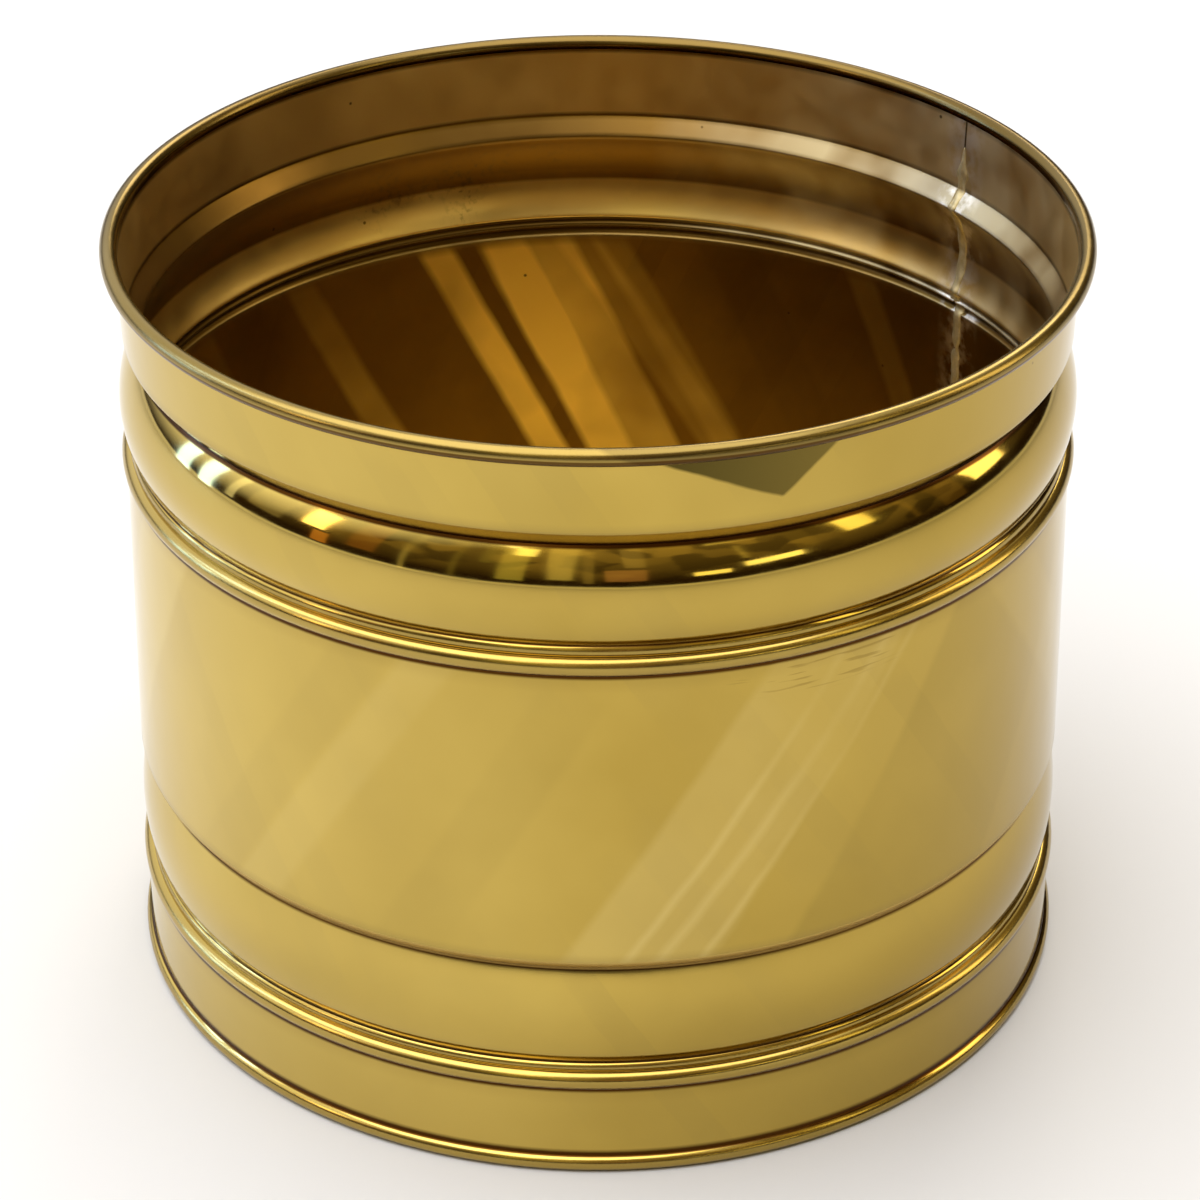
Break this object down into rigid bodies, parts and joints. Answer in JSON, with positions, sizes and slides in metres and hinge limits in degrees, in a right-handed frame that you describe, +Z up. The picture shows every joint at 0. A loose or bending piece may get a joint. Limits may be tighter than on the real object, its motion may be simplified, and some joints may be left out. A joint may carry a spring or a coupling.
{
  "type": "cachepot",
  "caption": "Round sheet-brass cachepot with an open top, a wired rolled rim and foot, pressed mouldings and a flat soldered bottom.",
  "frame": {"origin": "centre of the foot, on the surface that the pot stands on", "axes": "+Z up along the pot's axis; the brazed seam lies 35 degrees from +X towards +Y"},
  "size_m": [0.25, 0.25, 0.2045],
  "materials": {
    "shell_brass": "polished sheet brass, tarnished inside",
    "braze": "filed brazing",
    "wire_steel": "drawn steel wire",
    "base_brass": "dull sheet brass",
    "soft_solder": "dull grey soft solder"
  },
  "bodies": {
    "root": {"body_shell": "shell_brass", "seam_braze": "braze", "rim_wire": "wire_steel", "foot_wire": "wire_steel", "base_disc": "base_brass", "base_solder": "soft_solder"}
  },
  "joints": []
}
